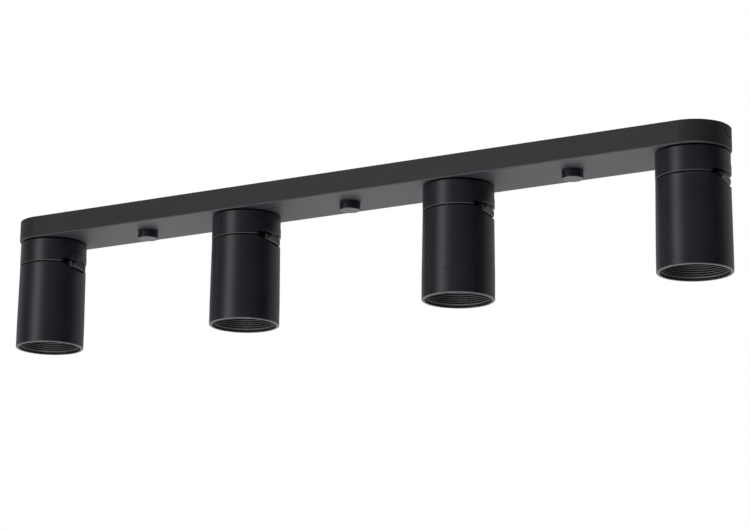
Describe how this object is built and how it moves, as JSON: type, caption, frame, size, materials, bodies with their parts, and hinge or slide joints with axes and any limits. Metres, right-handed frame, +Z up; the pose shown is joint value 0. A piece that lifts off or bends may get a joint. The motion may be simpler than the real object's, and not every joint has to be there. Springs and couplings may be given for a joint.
{
  "type": "ceiling spotlight bar",
  "caption": "Long flat ceiling bar with round ends carrying cylindrical spot heads that swivel and tilt; open ribbed mouths take small reflector lamps.",
  "frame": {"origin": "centre of the face that lies against the ceiling", "axes": "+Z up into the ceiling, +X along the bar towards the side cable entry, +Y across the bar"},
  "size_m": [0.83, 0.075, 0.14],
  "materials": {
    "black_coat": "fine-textured matt black powder coat",
    "black_coat_smooth": "satin black powder coat",
    "black_baffle": "satin black, turned grooves",
    "black_pin": "black oxide steel",
    "black_plastic": "matt moulded nylon",
    "zinc_steel": "zinc-plated",
    "brass": "plain brass",
    "white_nylon": "natural nylon",
    "lead_sleeve": "braided fibreglass sleeve",
    "ceramic": "unglazed steatite"
  },
  "bodies": {
    "bar": {"canopy_shell": "black_coat", "cable_entry_plug": "black_plastic", "mounting_bracket": "zinc_steel", "bracket_studs": "zinc_steel", "cap_nuts": "black_coat_smooth", "terminal_block": "white_nylon", "terminal_screws": "brass", "strain_relief": "white_nylon", "bracket_screws": "zinc_steel", "earth_terminal": "brass", "pivot_washers": "black_plastic", "harness": "lead_sleeve"},
    "swivel_1": {"collar_1": "black_coat_smooth", "swivel_stem_1": "zinc_steel", "stem_nut_1": "zinc_steel", "hinge_bracket_1": "black_coat_smooth", "collar_lead_1": "lead_sleeve"},
    "spot_1": {"shade_1": "black_coat_smooth", "front_ring_1": "black_baffle", "hinge_pin_1": "black_pin", "lampholder_1": "ceramic", "holder_bracket_1": "zinc_steel", "holder_screws_1": "zinc_steel", "shade_lead_1": "lead_sleeve"},
    "swivel_2": {"collar_2": "black_coat_smooth", "swivel_stem_2": "zinc_steel", "stem_nut_2": "zinc_steel", "hinge_bracket_2": "black_coat_smooth", "collar_lead_2": "lead_sleeve"},
    "spot_2": {"shade_2": "black_coat_smooth", "front_ring_2": "black_baffle", "hinge_pin_2": "black_pin", "lampholder_2": "ceramic", "holder_bracket_2": "zinc_steel", "holder_screws_2": "zinc_steel", "shade_lead_2": "lead_sleeve"},
    "swivel_3": {"collar_3": "black_coat_smooth", "swivel_stem_3": "zinc_steel", "stem_nut_3": "zinc_steel", "hinge_bracket_3": "black_coat_smooth", "collar_lead_3": "lead_sleeve"},
    "spot_3": {"shade_3": "black_coat_smooth", "front_ring_3": "black_baffle", "hinge_pin_3": "black_pin", "lampholder_3": "ceramic", "holder_bracket_3": "zinc_steel", "holder_screws_3": "zinc_steel", "shade_lead_3": "lead_sleeve"},
    "swivel_4": {"collar_4": "black_coat_smooth", "swivel_stem_4": "zinc_steel", "stem_nut_4": "zinc_steel", "hinge_bracket_4": "black_coat_smooth", "collar_lead_4": "lead_sleeve"},
    "spot_4": {"shade_4": "black_coat_smooth", "front_ring_4": "black_baffle", "hinge_pin_4": "black_pin", "lampholder_4": "ceramic", "holder_bracket_4": "zinc_steel", "holder_screws_4": "zinc_steel", "shade_lead_4": "lead_sleeve"}
  },
  "joints": [
    {"name": "head_1_pan", "type": "hinge", "parent": "bar", "child": "swivel_1", "pos_m": [-0.3775, 0, -0.023], "axis": [0, 0, 1], "range_deg": [-175, 175]},
    {"name": "head_1_tilt", "type": "hinge", "parent": "swivel_1", "child": "spot_1", "pos_m": [-0.34816, 0.00308, -0.0507], "axis": [0.1045, -0.9945, 0], "range_deg": [0, 45]},
    {"name": "head_2_pan", "type": "hinge", "parent": "bar", "child": "swivel_2", "pos_m": [-0.12583, 0, -0.023], "axis": [0, 0, 1], "range_deg": [-175, 175]},
    {"name": "head_2_tilt", "type": "hinge", "parent": "swivel_2", "child": "spot_2", "pos_m": [-0.09649, 0.00308, -0.0507], "axis": [0.1045, -0.9945, 0], "range_deg": [0, 45]},
    {"name": "head_3_pan", "type": "hinge", "parent": "bar", "child": "swivel_3", "pos_m": [0.12583, 0, -0.023], "axis": [0, 0, 1], "range_deg": [-175, 175]},
    {"name": "head_3_tilt", "type": "hinge", "parent": "swivel_3", "child": "spot_3", "pos_m": [0.15517, 0.00308, -0.0507], "axis": [0.1045, -0.9945, 0], "range_deg": [0, 45]},
    {"name": "head_4_pan", "type": "hinge", "parent": "bar", "child": "swivel_4", "pos_m": [0.3775, 0, -0.023], "axis": [0, 0, 1], "range_deg": [-175, 175]},
    {"name": "head_4_tilt", "type": "hinge", "parent": "swivel_4", "child": "spot_4", "pos_m": [0.40684, 0.00308, -0.0507], "axis": [0.1045, -0.9945, 0], "range_deg": [0, 45]}
  ]
}
